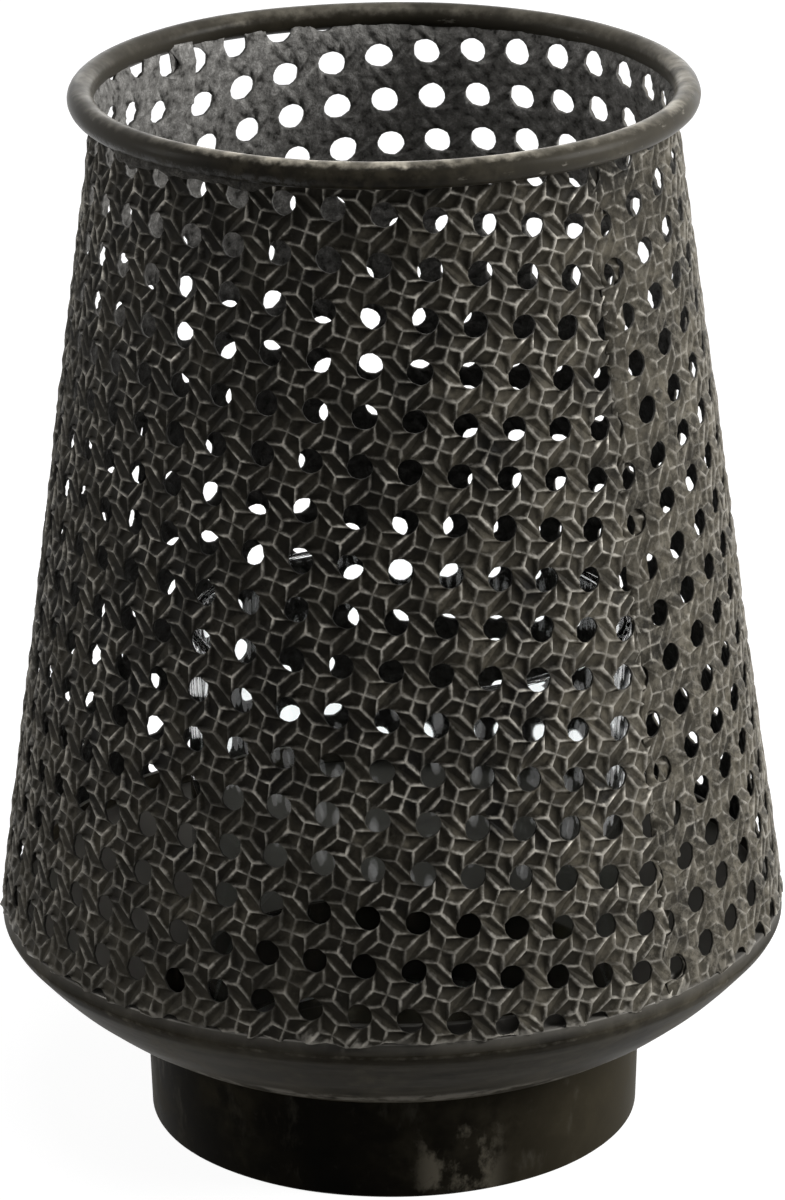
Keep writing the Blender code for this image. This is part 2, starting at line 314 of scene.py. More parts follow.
# %% Drift
DRIFT_UNIT = 8.0  # pitches by which x or y below grows by 1
DRIFT_ROW = -45.0  # the row where y is 0
REAR_DRIFT = (
    -0.049 + 0.035j, 0.020 - 0.076j, 0.081 + 0.058j,
    -0.051 + 0.009j, 0.053 - 0.008j, 0.006 - 0.053j,
)
REAR_SEAM_DRIFT = (0.425 - 0.288j, 0.435 - 0.301j, 0.105 + 0.006j)
FRONT_DRIFT = (
    0.097 + 0.013j, -0.217 - 0.039j, -0.011 - 0.041j,
    -0.003 - 0.009j, 0.077 + 0.008j, 0.018 - 0.025j,
)
FRONT_LEFT_DRIFT = (0.051 + 0.137j, 0.190 + 0.135j, -0.016 + 0.077j)


def slow_sum(weights, x, y):
    """The sum of 1, x, y, xy, x^2 and y^2, or of the first three, each times its weight."""
    return sum(weight * term for weight, term in zip(weights, (1, x, y, x * y, x * x, y * y)))


def drift(x, y, rear):
    """How far a sheet's pattern strays from true square rows: across + i along, in pitches.

    It blends two slow sums of the place (x, y) in the sheet, with a smooth step to the left.
    """
    x, y = x / DRIFT_UNIT, (y - DRIFT_ROW) / DRIFT_UNIT
    if rear:
        main, left = slow_sum(REAR_DRIFT, x, y), slow_sum(REAR_SEAM_DRIFT, np.maximum(x, -1.28), y)
        share = smooth_step((-0.25 - x) / 0.5)
    else:
        main, left = slow_sum(FRONT_DRIFT, np.maximum(x, -0.35), y), slow_sum(FRONT_LEFT_DRIFT, x, y)
        share = smooth_step((-0.4 - x) / 0.3)
    return (1 - share) * main + share * left


print("drift in the front sheet's middle:", round(PITCH * abs(drift(0.0, -50.0, False)), 2), "mm")

# %% [markdown]
# ## Laying out the flat sheet
# Every repeat that reaches into the panel is placed, points that neighbours share are
# merged, and the whole is drifted. Then each point strays a little by itself, because
# a press doesn't strike every field alike.

# %% Flat sheet
COLUMNS, ROWS = np.arange(-16, 18), np.arange(-66, -38)  # enough to pass every edge
MARGIN = 14.0  # mm that the pattern goes on past the panel's edges
SCALE = 600.0  # makes flat angles about as large as lengths, while the sheet is flat
FLOOR_STRAY, RIDGE_STRAY = 0.11, 0.05  # mm that a point strays in the sheet
FLOOR_LIFT, RIDGE_LIFT = 0.16, 0.09  # mm that it lies too high or low


def flat_sheet(start, hole, rear):
    """All repeats that a panel needs, as (angle, -slant, height) points, faces and crests.

    The hole of column c and row r lies at the complex number c + i r, plus the start. Its
    slant is that number's length in pitches, and its angle is its direction.
    """
    places, heights, crests, slopes, bottoms = repeat_of_weave(hole)
    column, row = np.meshgrid(COLUMNS, ROWS)
    cells = (column + start[0]) + 1j * (row + start[1])
    slant, angle = abs(cells) * PITCH, np.arctan2(cells.real, -cells.imag)
    wanted = (slant < SLANT_LOW + MARGIN) & (slant > SLANT_HIGH - MARGIN)
    cells = cells[wanted & (abs(angle) < FLAT_SIDE + MARGIN / slant)]
    points = (cells[:, None] + places[None]).ravel()
    keys = np.round(np.stack([points.real, points.imag], axis=-1), 5)
    _, first, merged = np.unique(keys, axis=0, return_index=True, return_inverse=True)
    points = points[first]
    heights, crests = np.tile(heights, len(cells))[first], np.tile(crests, len(cells))[first]
    points = (points + drift(points.real - start[0], points.imag - start[1], rear)) * PITCH
    x, y = points.real, points.imag
    floor = crests == 0
    stray = waves(x, y, 5.0, 20) + 1j * waves(x, y, 5.0, 21)
    heights = heights + np.where(floor, FLOOR_LIFT, RIDGE_LIFT) * waves(x, y, 6.0, 22)
    points = points + np.where(floor, FLOOR_STRAY, RIDGE_STRAY) * stray
    merged = merged.reshape(len(cells), -1)
    faces = merged[:, slopes].reshape(-1, 4).tolist()
    for bottom in bottoms:
        faces += merged[:, bottom].tolist()
    angle = np.arctan2(points.real, -points.imag)
    return np.stack([angle * SCALE, -abs(points), heights], axis=-1), faces, crests


# %% [markdown]
# ## Cutting the sheet and giving it a back
# The four edges are straight in these coordinates, so Blender's plane cut does each in
# one go. An extrusion then closes the sheet into a solid. Its back is first made far
# below, so that its points are easy to tell.

# %% Cut and back
BACK_MARK = 100.0  # how far below


def cut_and_back(name, spots, faces, crests):
    """Cut the flat sheet along the panel's edges and give it a back."""
    flat = make_piece(name, spots, faces, crests, 180.0)
    sheet = bmesh.new()
    sheet.from_mesh(flat.data)
    for spot, way in (
        ((0, -SLANT_LOW, 0), (0, -1, 0)),
        ((0, -SLANT_HIGH, 0), (0, 1, 0)),
        ((FLAT_SIDE * SCALE, 0, 0), (1, 0, 0)),
        ((-FLAT_SIDE * SCALE, 0, 0), (-1, 0, 0)),
    ):
        whole = sheet.verts[:] + sheet.edges[:] + sheet.faces[:]
        bmesh.ops.bisect_plane(sheet, geom=whole, plane_co=spot, plane_no=way, clear_outer=True)
    grown = bmesh.ops.extrude_face_region(sheet, geom=sheet.faces[:])["geom"]
    back = [part for part in grown if isinstance(part, bmesh.types.BMVert)]
    bmesh.ops.translate(sheet, verts=back, vec=(0.0, 0.0, -BACK_MARK))
    bmesh.ops.recalc_face_normals(sheet, faces=sheet.faces[:])
    sheet.to_mesh(flat.data)
    sheet.free()
    return flat


# %% [markdown]
# ## Rolling up
# The back follows the front's relief only weakly, because the press blurs it. The relief
# fades towards the seams, the foot and the ring, and the outer sheet is flatter for a
# good way beside its seams. At a seam the inner sheet steps inwards, and the outer one
# sinks and thins out to its edge. The wall bulges by 0.7 mm above and 0.3 mm below, its
# upper edge turns out to meet the ring, and its cut edges are a little wavy.

# %% Rolling up
BACK = 0.75  # mm from the front's level to the back's
BACK_RELIEF = 0.45  # share of the front's relief that shows at the back
WOBBLE = 0.16  # mm that the pattern sways in the sheet
OUTER_FLATTER = 0.27  # share of its relief that the outer sheet loses beside its seams
LAP = np.radians(6.0)  # how far the two sheets lie over each other
LAP_STEP = 1.1  # mm that the inner sheet steps inwards under the outer one
LAP_SINK, LAP_EDGE = 0.32, 0.30  # mm that the outer one sinks by, and its thickness there
BULGE, BULGE_LOSS = 0.7, 0.4  # mm, and what it loses over 70 mm below the slant 545 mm
FLARE = 1.7  # mm that the upper edge turns out
CUT_CREST = 1.1  # a cut edge is rubbed more than any ridge


def read_flat(mesh):
    """Angle, slant, height and crest of a flat sheet's points, and which are its back."""
    spots = np.zeros(len(mesh.vertices) * 3, np.float32)
    mesh.vertices.foreach_get("co", spots)
    angle, slant, height = (spots.reshape(-1, 3) * (1 / SCALE, -1.0, 1.0)).T
    crest = np.zeros(len(mesh.vertices), np.float32)
    mesh.attributes["crest"].data.foreach_get("value", crest)
    back = height < -BACK_MARK / 2
    return angle, slant, np.where(back, height + BACK_MARK, height), crest, back


def swayed(angle, slant, height, at_foot, at_ring):
    """Bulge the wall and let it sway: each waves call has its size in mm and its seed."""
    x, y = slant * np.sin(angle), -slant * np.cos(angle)
    height = height + 0.18 * waves(x, y, 60.0, 3) + 0.06 * waves(x, y, 14.0, 4)
    height = height + BULGE - BULGE_LOSS * smooth_step((slant - 545.0) / 70.0) + FLARE * at_ring
    height = height + at_foot * (0.15 + 0.3 * waves(x, y, 9.0, 5))
    height = height + at_ring * 0.15 * waves(x, y, 16.0, 6)
    angle = angle + WOBBLE * waves(x, y, 9.0, 9) / slant
    slant = slant + WOBBLE * waves(x, y, 9.0, 10)
    slant = slant - at_ring * 0.3 * waves(x, y, 18.0, 7) - at_foot * (0.2 + 0.5 * waves(x, y, 9.0, 8))
    return angle, slant, height


def roll_up(piece, middle, start, under, relief):
    """Roll the flat sheet into its half of the cone, and keep its flat place as UVs.

    A point's radius is its slant times the sine of the taper plus its height times the
    cosine, and its azimuth is the flat angle over the sine, plus that of the middle.
    """
    mesh = piece.data
    angle, slant, height, crest, back = read_flat(mesh)
    x, y = slant * np.sin(angle), -slant * np.cos(angle)
    inwards = SIDE - abs(angle) / np.sin(TAPER)  # azimuth from the panel's side
    at_foot, at_ring = near(SLANT_LOW - slant, 4.0, 4.0), near(slant - SLANT_HIGH, 5.0, 5.0)
    kept = 1.0 if under else 1 - OUTER_FLATTER * near(inwards, np.radians(38.0), np.radians(26.0))
    height = height * relief * kept * (1 - 0.55 * near(inwards, np.radians(9.0), np.radians(7.0)))
    height = height * (1 - 0.5 * at_ring) * (1 - 0.5 * at_foot)
    thickness = (BACK + (1 - BACK_RELIEF) * height) * (1 - 0.4 * at_ring)
    if under:
        height = height - LAP_STEP * near(inwards, LAP - 0.006, 0.026)
    else:
        thin = near(inwards, 0.030, 0.024)
        height = height - LAP_SINK * thin
        thickness = thickness + (LAP_EDGE - thickness) * thin
    height = height - np.where(back, thickness, 0.0)
    at_cut = ((at_foot > 0.9999) | (at_ring > 0.9999)) & (inwards >= 1e-5)

    angle, slant, height = swayed(angle, slant, height, at_foot, at_ring)
    around = np.radians(middle) + angle / np.sin(TAPER)
    radius = slant * np.sin(TAPER) + height * np.cos(TAPER)
    level = TIP - slant * np.cos(TAPER) + height * np.sin(TAPER)
    points = round_axis(radius, around, level)
    mesh.vertices.foreach_set("co", points.astype(np.float32).ravel())
    store(mesh, "crest", np.where(at_cut, CUT_CREST, np.where(back, 0.0, crest * kept)))
    store(mesh, "inside", back)
    corner = np.zeros(len(mesh.loops), np.int32)
    mesh.loops.foreach_get("vertex_index", corner)
    places = np.stack([x / PITCH - start[0], y / PITCH - start[1]], axis=-1).astype(np.float32)
    mesh.uv_layers.new(name="weave").data.foreach_set("uv", places[corner].ravel())
    mesh.update()
    triangles = sum(len(face.vertices) - 2 for face in mesh.polygons)
    print(piece.name, "rolled up:", len(mesh.polygons), "faces,", triangles, "triangles")
    return piece


# %% [markdown]
# ## The two panels
# Two sheets make the wall, and their seams lie at the right and behind at the left. The
# rows of holes are cut off askew by a sheet's edges, so each pattern has a start of its
# own, found from the photograph: the place of the hole in column 0 and row 0, seen from
# the cone's tip.

# %% Panels
FRONT_MIDDLE = -44.17  # azimuth of the front panel's middle, degrees
FRONT_START, REAR_START = (-0.4939, -1.2835), (-0.4015, -1.2966)  # pitches
FRONT_RELIEF, REAR_RELIEF = 1.0, 0.8


def panel(name, middle, start, under, hole, relief):
    """One half of the wall. The one that lies under at the seams steps inwards there."""
    spots, faces, crests = flat_sheet(start, hole, not under)
    return roll_up(cut_and_back(name, spots, faces, crests), middle, start, under, relief)


front_panel = panel("pressed_front", FRONT_MIDDLE, FRONT_START, True, FRONT_HOLE, FRONT_RELIEF)
rear_panel = panel("pressed_rear", FRONT_MIDDLE + 180.0, REAR_START, False, REAR_HOLE, REAR_RELIEF)

# %% [markdown]
# ## Rim ring
# The ring is a bent tube, so it is not quite round or level: slow waves of a few tenths
# of a millimetre make it look made by hand. Hands rub it bright on top, and that rubbed
# top also serves as a painted highlight along its near edge.

# %% Rim ring
RING_RADIUS, RING_LEVEL, TUBE_RADIUS = 74.3, 268.75, 3.3  # mm
TUBE_POINTS, TUBE_END = 24, 345.0  # 24 steps of 15 degrees, the last one back to the first


def arc(middle, radius, start, end, steps):
    """Points on a circle of (radius, height), from one angle in degrees to another."""
    angle = np.radians(np.linspace(start, end, steps))
    return np.asarray(middle) + radius * np.stack([np.cos(angle), np.sin(angle)], axis=-1)


def hand_bent(radius, height, around):
    """Slow sines round the ring, in radius and in height."""
    stray = 0.20 * np.sin(2 * around + 0.7) + 0.12 * np.sin(5 * around + 2.0)
    lift = 0.10 * np.sin(3 * around + 1.1) + 0.06 * np.sin(7 * around)
    dents = 0.05 * np.sin(23 * around + 2.0 * height) * np.sin(9 * around)
    return radius + stray + dents, height + np.minimum(lift, 0.0)


# The crest peaks a little inwards of the tube's top: rubbed wear, and also a painted highlight along the
# ring's near top edge.
tube_angle = np.radians(np.linspace(0.0, TUBE_END, TUBE_POINTS))
tube = arc((RING_RADIUS, RING_LEVEL), TUBE_RADIUS, 0.0, TUBE_END, TUBE_POINTS)
ring = turned("rim_tube", tube, hand_bent, rubbed=0.5 + 0.5 * np.cos(tube_angle - np.radians(105.0)))

# %% [markdown]
# ## Weld bead
# Under the ring's left front runs a lumpy line of weld. It is a thin tube whose radius
# swells and shrinks with the waves, and dies out at both ends.

# %% Weld bead
BEAD_FROM, BEAD_TO = -62.0, -20.0  # azimuths of its ends, degrees
BEAD_STEPS, BEAD_SIDES = 160, 10
BEAD_RADIUS = 1.25  # mm
BEAD_PLACE = (74.9, 265.3)  # its radius round the axis and its height, mm


def weld_bead(name):
    """A tube along the ring. Its radius is the bead's plus two waves, smaller at its ends."""
    azimuth = np.radians(np.linspace(BEAD_FROM, BEAD_TO, BEAD_STEPS))
    around, turn = np.meshgrid(azimuth, np.linspace(0, 2 * np.pi, BEAD_SIDES, endpoint=False))
    along = np.degrees(around)
    ends = smooth_step((along - BEAD_FROM) / 5.0) * smooth_step((BEAD_TO - along) / 5.0)
    lump = BEAD_RADIUS + 0.45 * waves(along, 1.5 * turn, 7.0, 11)
    lump = (lump + 0.25 * waves(along, 2.0 * np.cos(turn), 2.5, 12)) * (0.15 + 0.85 * ends)
    radius = BEAD_PLACE[0] + lump * np.cos(turn)
    height = BEAD_PLACE[1] + 0.5 * waves(along, 0 * turn, 9.0, 13) + 1.25 * lump * np.sin(turn)
    points = round_axis(radius, around, height).reshape(-1, 3)
    index = np.arange(BEAD_SIDES * BEAD_STEPS).reshape(BEAD_SIDES, BEAD_STEPS)
    up = np.roll(index, -1, axis=0)
    faces = np.stack([index[:, :-1], index[:, 1:], up[:, 1:], up[:, :-1]], axis=-1)
    faces = faces.reshape(-1, 4).tolist() + [index[::-1, 0].tolist(), index[:, -1].tolist()]
    return make_piece(name, points, faces, (0.4 + 0.4 * np.sin(turn)).ravel())


weld = weld_bead("weld_under_ring")

# %% [markdown]
# ## Bowl
# The bowl was spun from sheet. It starts with a lip inside the wall, has a band under the
# wall's edge, a fine crease and a swelling down to the foot. The inner side runs beside
# the outer one, 1.2 mm farther in. Each corner has its own softness.

# %% Bowl
DISH = np.array([  # its outer side, from the band's edge down to the foot
    (99.8, 54.8), (98.6, 52.6), (96.3, 50.0), (93.2, 46.6), (88.6, 42.0), (82.9, 37.4),
    (80.2, 35.35), (79.5, 35.15), (77.2, 33.4), (72.3, 30.5), (67.5, 28.9), (63.6, 28.5),
])
TO_INNER = np.array([(-1.3, 0.4)] + [(-0.75, 0.95)] * 10 + [(-1.2, 0.4)])
LIP_OUTER, LIP_INNER = [(95.9, 62.0), (96.7, 58.6), (99.3, 58.6)], [(95.7, 56.0), (94.7, 62.0)]
OUTER_REACH = [0.5, 0.6, 0.5, 0.7, 0.7, 0.9, 2.5, 2.5, 2.5, 0.3, 0.3, 2.5, 1.2, 1.2, 0.3]
INNER_REACH = [0.3] + [2.5] * 10 + [0.6, 1.0, 0.5]


def hand_turned(radius, height, around):
    """The faint unevenness that spinning leaves, as two sines round the axis."""
    return radius + 0.06 * np.sin(3 * around + 0.05 * height) + 0.03 * np.sin(11 * around), height


bowl_profile = np.concatenate([LIP_OUTER, DISH, (DISH + TO_INNER)[::-1], LIP_INNER])
bowl = turned("spun_bowl", softened(bowl_profile, OUTER_REACH + INNER_REACH), hand_turned)

# %% [markdown]
# ## Foot and floor
# The foot is a short collar that flares a little towards its top. A thin lip on it closes
# the joint with the bowl. The floor is a pan pressed into it, with a raised seat in the
# middle and a flange turned down at its edge. It is closed but for a pinhole on the axis.

# %% Foot and floor
FOOT_TOP, FOOT_LIP, FOOT_INNER, LIP_WALL = 28.2, 30.2, 62.1, 1.0  # mm
foot_profile = [
    (62.6, 0.0), (63.5, FOOT_TOP), (FOOT_INNER, FOOT_TOP), (FOOT_INNER, FOOT_LIP),
    (FOOT_INNER - LIP_WALL, FOOT_LIP), (61.2, 0.0),
]
foot = turned("foot_collar", softened(foot_profile, [0.6, 0.5, 0.2, 0.3, 0.3, 0.3]), hand_turned)

FLOOR_TOP, FLOOR_SHEET, FLOOR_RADIUS, FLANGE_END = 6.0, 1.0, 60.8, 2.0  # mm
SEAT_RADIUS, SEAT_RISE, SEAT_SLOPE, PINHOLE = 46.0, 1.0, 1.2, 0.3
under_floor, bend = FLOOR_TOP - FLOOR_SHEET, SEAT_RADIUS - 0.8
floor_profile = [
    (PINHOLE, FLOOR_TOP + SEAT_RISE), (SEAT_RADIUS, FLOOR_TOP + SEAT_RISE),
    (SEAT_RADIUS + SEAT_SLOPE, FLOOR_TOP), (FLOOR_RADIUS, FLOOR_TOP), (FLOOR_RADIUS, FLANGE_END),
    (FLOOR_RADIUS - FLOOR_SHEET, FLANGE_END), (FLOOR_RADIUS - FLOOR_SHEET, under_floor),
    (bend + SEAT_SLOPE, under_floor), (bend, under_floor + SEAT_RISE), (PINHOLE, under_floor + SEAT_RISE),
]
floor_reach = [0.0, 0.8, 0.8, 0.9, 0.2, 0.2, 0.4, 0.4, 0.4, 0.0]
pan = turned("floor_pan", softened(floor_profile, floor_reach))

# %% [markdown]
# ## Glass
# The glass is a plain tube with rounded edges, open at both ends, and it stands against
# the foot's right side. Smooth shading would bend the light along its whole height, so
# short strips near its ends keep the long faces' shading flat.

# %% Glass
GLASS_RADIUS, GLASS_WALL, GLASS_HEIGHT = 56.0, 2.5, 126.0  # mm
GLASS_STRIP = 2.5  # mm
GLASS_SPOT = (0.00495, 0.0, 0.0063)  # metres
strip_levels = [0.0, GLASS_STRIP, GLASS_HEIGHT - GLASS_STRIP, GLASS_HEIGHT]
glass_profile = [(GLASS_RADIUS, level) for level in strip_levels]
glass_profile += [(GLASS_RADIUS - GLASS_WALL, level) for level in reversed(strip_levels)]
glass_reach = [1.2, 0.4, 0.4, 1.2] * 2
glass = turned("glass_tube", softened(glass_profile, glass_reach, 6), centre=GLASS_SPOT)

# %% [markdown]
# ## Riding and replacing
# Each piece takes the place of one solid and rides on that solid's body, so that the
# glass lifts out and everything else stays. The weld bead is trim: it only rides.

# %% Riding
for piece, node, slot, body in (
    (front_panel, "front_panel", "mesh", "lantern"),
    (rear_panel, "rear_panel", "mesh", "lantern"),
    (ring, "rim_ring", "rim", "lantern"),
    (bowl, "bowl", "bowl", "lantern"),
    (foot, "foot_ring", "foot", "lantern"),
    (pan, "floor_plate", "floor", "lantern"),
    (glass, "glass_cylinder", "glass", "glass"),
):
    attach(piece, body)
    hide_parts(node)
    print(piece.name, "rides on", body)
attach(weld, "lantern")

# %% [markdown]
# ## Effects shared by the finishes
# All the metal here has the same antique finish: a dark stain over bronze, mottled where
# it dried unevenly, rubbed bright on ridges and edges, and with a fine tooth. Each effect
# is a node group, built once and placed in each material with its own values.


# %% Node helpers
def add_node(tree, kind, **values):
    """A new node, with its options set by name."""
    node = tree.nodes.new(kind)
    for name, value in values.items():
        setattr(node, name, value)
    return node


def join(tree, source, target):
    """Connect an output to an input, or set the input to a plain value."""
    if isinstance(source, (int, float, tuple)):
        target.default_value = source
    else:
        tree.links.new(source, target)


def maths(tree, operation, *numbers):
    """One step of arithmetic on two or three numbers."""
    node = add_node(tree, "ShaderNodeMath", operation=operation)
    for number, socket in zip(numbers, node.inputs):
        join(tree, number, socket)
    return node.outputs[0]


def noise(tree, place, scale, detail=3.0, roughness=0.55):
    """Cloudy noise between 0 and 1."""
    node = add_node(tree, "ShaderNodeTexNoise")
    join(tree, place, node.inputs["Vector"])
    join(tree, scale, node.inputs["Scale"])
    node.inputs["Detail"].default_value = detail
    node.inputs["Roughness"].default_value = roughness
    return node.outputs["Fac"]


def between(tree, value, low, high, to_low=0.0, to_high=1.0):
    """Stretch the range from low to high onto that from to_low to to_high, as a smooth step."""
    node = add_node(tree, "ShaderNodeMapRange", interpolation_type="SMOOTHSTEP")
    join(tree, value, node.inputs["Value"])
    ends = {"From Min": low, "From Max": high, "To Min": to_low, "To Max": to_high}
    for name, number in ends.items():
        join(tree, number, node.inputs[name])
    return node.outputs["Result"]


def blend(tree, share, first, second):
    """A colour between two colours."""
    node = add_node(tree, "ShaderNodeMix", data_type="RGBA")
    join(tree, share, node.inputs[0])
    join(tree, first, node.inputs[6])
    join(tree, second, node.inputs[7])
    return node.outputs[2]


def grey(value, warmth=0.0):
    """A linear colour of that brightness, browner as warmth grows."""
    return (value * (1 + 0.5 * warmth), value, value * (1 - warmth), 1.0)


KINDS = {1: "NodeSocketFloat", 3: "NodeSocketVector", 4: "NodeSocketColor"}
ANY_PLACE, ANY_COLOUR = (0.0, 0.0, 0.0), grey(0.5)


def new_group(name, outputs, **inputs):
    """A node group that reads a place: its tree, what comes in and what goes out.

    Sockets are given with a value, which is one number, or 3 for a place, or 4 for a colour.
    """
    group = bpy.data.node_groups.new(name, "ShaderNodeTree")
    for way, sockets in (("INPUT", {"Place": ANY_PLACE, **inputs}), ("OUTPUT", outputs)):
        for socket, value in sockets.items():
            made = group.interface.new_socket(socket, in_out=way, socket_type=KINDS[np.size(value)])
            made.default_value = value
    print("group", name, "gives", " and ".join(outputs))
    return group, group.nodes.new("NodeGroupInput").outputs, group.nodes.new("NodeGroupOutput").inputs


# %% [markdown]
# **Stain.** Three colours, laid over each other by two cloudy noises: a dark ground, a
# lighter brown where the stain is thin, and soot-dark blotches. The same clouds make the
# thin places a little rougher.

# %% Stain group
stain, come, go = new_group(
    "uneven_stain", {"Color": ANY_COLOUR, "Thinness": 0.0},
    Size=60.0, Ground=ANY_COLOUR, Thin=ANY_COLOUR, Soot=ANY_COLOUR,
)
cloud = noise(stain, come["Place"], come["Size"], 4.0, 0.6)
speck = noise(stain, come["Place"], maths(stain, "MULTIPLY", come["Size"], 4.3), 3.0, 0.6)
thin = maths(stain, "MULTIPLY", between(stain, cloud, 0.42, 0.68), between(stain, speck, 0.30, 0.62))
brown = blend(stain, thin, come["Ground"], come["Thin"])
join(stain, blend(stain, between(stain, cloud, 0.46, 0.30), brown, come["Soot"]), go["Color"])
join(stain, thin, go["Thinness"])

# %% [markdown]
# **Rubbing.** The crest value says what stands out. Noise breaks its edge up, so that the
# bright metal comes and goes along a ridge instead of following it like a painted line.

# %% Rubbing group
rubbing, come, go = new_group(
    "rubbed_edges", {"Mask": 0.0}, Crest=0.0, Size=300.0, Uneven=1.1, From=0.3, To=0.9
)
patch = maths(rubbing, "SUBTRACT", noise(rubbing, come["Place"], come["Size"], 3.0, 0.6), 0.5)
shifted = maths(rubbing, "MULTIPLY_ADD", patch, come["Uneven"], come["Crest"])
worn_here = between(rubbing, shifted, come["From"], come["To"])
wide = noise(rubbing, come["Place"], maths(rubbing, "MULTIPLY", come["Size"], 0.3), 2.0, 0.5)
comes_and_goes = between(rubbing, wide, 0.34, 0.64, 0.35, 1.0)
join(rubbing, maths(rubbing, "MULTIPLY", worn_here, comes_and_goes), go["Mask"])

# %% [markdown]
# **Tooth.** Fine grain under soft hammering, as a height for a Bump node.

# %% Tooth group
tooth, come, go = new_group("metal_tooth", {"Height": 0.0}, Grain=1500.0, Hammer=180.0, Share=0.5)
mixed = add_node(tooth, "ShaderNodeMix", data_type="FLOAT")
join(tooth, come["Share"], mixed.inputs[0])
join(tooth, noise(tooth, come["Place"], come["Grain"], 2.0, 0.6), mixed.inputs[2])
join(tooth, noise(tooth, come["Place"], come["Hammer"], 2.0, 0.5), mixed.inputs[3])
join(tooth, mixed.outputs[0], go["Height"])

# %% [markdown]
# **Turning lines and smears.** Spun metal keeps fine rings round its axis, and wiping
# leaves pale, ragged smears. Both are noise in stretched coordinates: rings are squeezed
# along the height and drawn out round the axis, smears are drawn out along the height.

# %% Streak group
streaks, come, go = new_group(
    "drawn_out_noise", {"Mask": 0.0}, Stretch=(1.0, 1.0, 1.0), Size=100.0, From=0.5, To=0.7
)
pulled = add_node(streaks, "ShaderNodeVectorMath", operation="MULTIPLY")
join(streaks, come["Place"], pulled.inputs[0])
join(streaks, come["Stretch"], pulled.inputs[1])
drawn = noise(streaks, pulled.outputs[0], come["Size"], 5.0, 0.62)
join(streaks, between(streaks, drawn, come["From"], come["To"]), go["Mask"])

# %% [markdown]
# ## The recipe of the metal finishes
# Each metal starts from the same recipe: stain, rubbing and tooth, with its own colours,
# sizes and strengths. What is special to a piece is laid over it. Lights and darks that
# belong to one part of a piece, painted light and shade among them, are kept there by ramps
# along the axes, in metres.


# %% Metal recipe
def use(tree, group, **values):
    """Place a group in a material and set its inputs by name."""
    node = add_node(tree, "ShaderNodeGroup", node_tree=group)
    for name, value in values.items():
        join(tree, value, node.inputs[name])
    return node.outputs


def streaky(tree, place, stretch, size, low, high):
    """A mask of drawn-out noise, 0 where the noise is low and 1 where it is high."""
    return use(tree, streaks, Place=place, Stretch=stretch, Size=size, From=low, To=high)["Mask"]


def new_material(name):
    """A material with its tree, its shader and the place on the piece."""
    material = bpy.data.materials.new(name)
    material.use_nodes = True
    tree = material.node_tree
    place = add_node(tree, "ShaderNodeTexCoord").outputs["Object"]
    return material, tree, tree.nodes["Principled BSDF"], place


def axes_of(tree, place):
    """The X, Y and Z of a place."""
    axes = add_node(tree, "ShaderNodeSeparateXYZ")
    join(tree, place, axes.inputs[0])
    return axes.outputs


def ramped(tree, mask, axes, *ramps):
    """A mask times a ramp for each (axis, from, to), or (axis, from, to, share at from, at to)."""
    for axis, *ends in ramps:
        mask = maths(tree, "MULTIPLY", mask, between(tree, axes[axis], *ends))
    return mask


def layered(tree, colour, *layers):
    """A colour with each (mask, colour) laid over it in turn."""
    for mask, over in layers:
        colour = blend(tree, mask, colour, over)
    return colour


def dark_metal(name, ground, thin, soot, worn, size, rub, bump, uneven=1.1, patches=350.0):
    """A stained metal, rubbed where the crest, plus noise, passes through the range rub.

    Returns the material with its tree, its shader and the values to build on.
    """
    material, tree, shader, place = new_material(name)
    crest = add_node(tree, "ShaderNodeAttribute", attribute_name="crest").outputs["Fac"]
    stained = use(tree, stain, Place=place, Size=size, Ground=ground, Thin=thin, Soot=soot)
    rubbed = use(
        tree, rubbing, Place=place, Crest=crest, Size=patches, Uneven=uneven, From=rub[0], To=rub[1]
    )["Mask"]
    colour = blend(tree, rubbed, stained["Color"], worn)
    height = use(tree, tooth, Place=place, Grain=1500.0, Hammer=220.0, Share=0.55)["Height"]
    bumped = add_node(tree, "ShaderNodeBump")
    bumped.inputs["Strength"].default_value = bump
    bumped.inputs["Distance"].default_value = 0.0004
    join(tree, height, bumped.inputs["Height"])
    join(tree, bumped.outputs["Normal"], shader.inputs["Normal"])
    join(tree, colour, shader.inputs["Base Color"])
    print(name, "starts from", len(tree.nodes), "nodes")
    return SimpleNamespace(
        material=material, tree=tree, shader=shader, place=place, colour=colour, rubbed=rubbed,
        thinness=stained["Thinness"], height=height, bumped=bumped,
    )


def shine(metal, rough, worn, thin, bare, specular, rubbed=None):
    """Roughness that changes by worn where rubbed and by thin where the stain is thin.

    Rubbed places are also metallic, by the share bare.
    """
    tree, inputs = metal.tree, metal.shader.inputs
    rubbed = metal.rubbed if rubbed is None else rubbed
    join(tree, maths(tree, "MULTIPLY", rubbed, bare), inputs["Metallic"])
    changed = maths(tree, "MULTIPLY_ADD", rubbed, worn, rough)
    join(tree, maths(tree, "MULTIPLY_ADD", metal.thinness, thin, changed), inputs["Roughness"])
    inputs["Specular IOR Level"].default_value = specular
